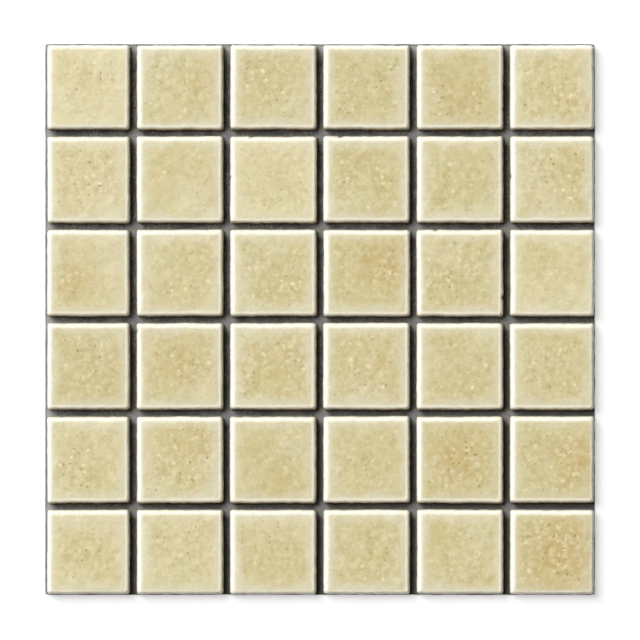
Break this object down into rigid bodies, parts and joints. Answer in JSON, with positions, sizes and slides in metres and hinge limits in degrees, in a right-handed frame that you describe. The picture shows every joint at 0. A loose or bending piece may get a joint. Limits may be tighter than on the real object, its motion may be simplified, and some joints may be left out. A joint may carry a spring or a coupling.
{
  "type": "mosaic tile sheet",
  "caption": "Flat square sheet of small square glazed ceramic tiles with cushioned edges, in a regular grid with open joints on a thin fibre backing.",
  "frame": {"origin": "middle of the underside of the backing sheet", "axes": "+Z out of the glazed faces, up as the sheet lies on the floor; +X along a row of tiles, to the right in the picture; +Y along a column of tiles, to the top of the picture"},
  "size_m": [0.304, 0.304, 0.0068],
  "materials": {
    "glazed_tile": "glossy mottled beige glaze over a pale pressed body",
    "backing": "matt grey bonded fibre"
  },
  "bodies": {
    "root": {"backing_sheet": "backing", "tile_r1_c1": "glazed_tile", "tile_r1_c2": "glazed_tile", "tile_r1_c3": "glazed_tile", "tile_r1_c4": "glazed_tile", "tile_r1_c5": "glazed_tile", "tile_r1_c6": "glazed_tile", "tile_r2_c1": "glazed_tile", "tile_r2_c2": "glazed_tile", "tile_r2_c3": "glazed_tile", "tile_r2_c4": "glazed_tile", "tile_r2_c5": "glazed_tile", "tile_r2_c6": "glazed_tile", "tile_r3_c1": "glazed_tile", "tile_r3_c2": "glazed_tile", "tile_r3_c3": "glazed_tile", "tile_r3_c4": "glazed_tile", "tile_r3_c5": "glazed_tile", "tile_r3_c6": "glazed_tile", "tile_r4_c1": "glazed_tile", "tile_r4_c2": "glazed_tile", "tile_r4_c3": "glazed_tile", "tile_r4_c4": "glazed_tile", "tile_r4_c5": "glazed_tile", "tile_r4_c6": "glazed_tile", "tile_r5_c1": "glazed_tile", "tile_r5_c2": "glazed_tile", "tile_r5_c3": "glazed_tile", "tile_r5_c4": "glazed_tile", "tile_r5_c5": "glazed_tile", "tile_r5_c6": "glazed_tile", "tile_r6_c1": "glazed_tile", "tile_r6_c2": "glazed_tile", "tile_r6_c3": "glazed_tile", "tile_r6_c4": "glazed_tile", "tile_r6_c5": "glazed_tile", "tile_r6_c6": "glazed_tile"}
  },
  "joints": []
}
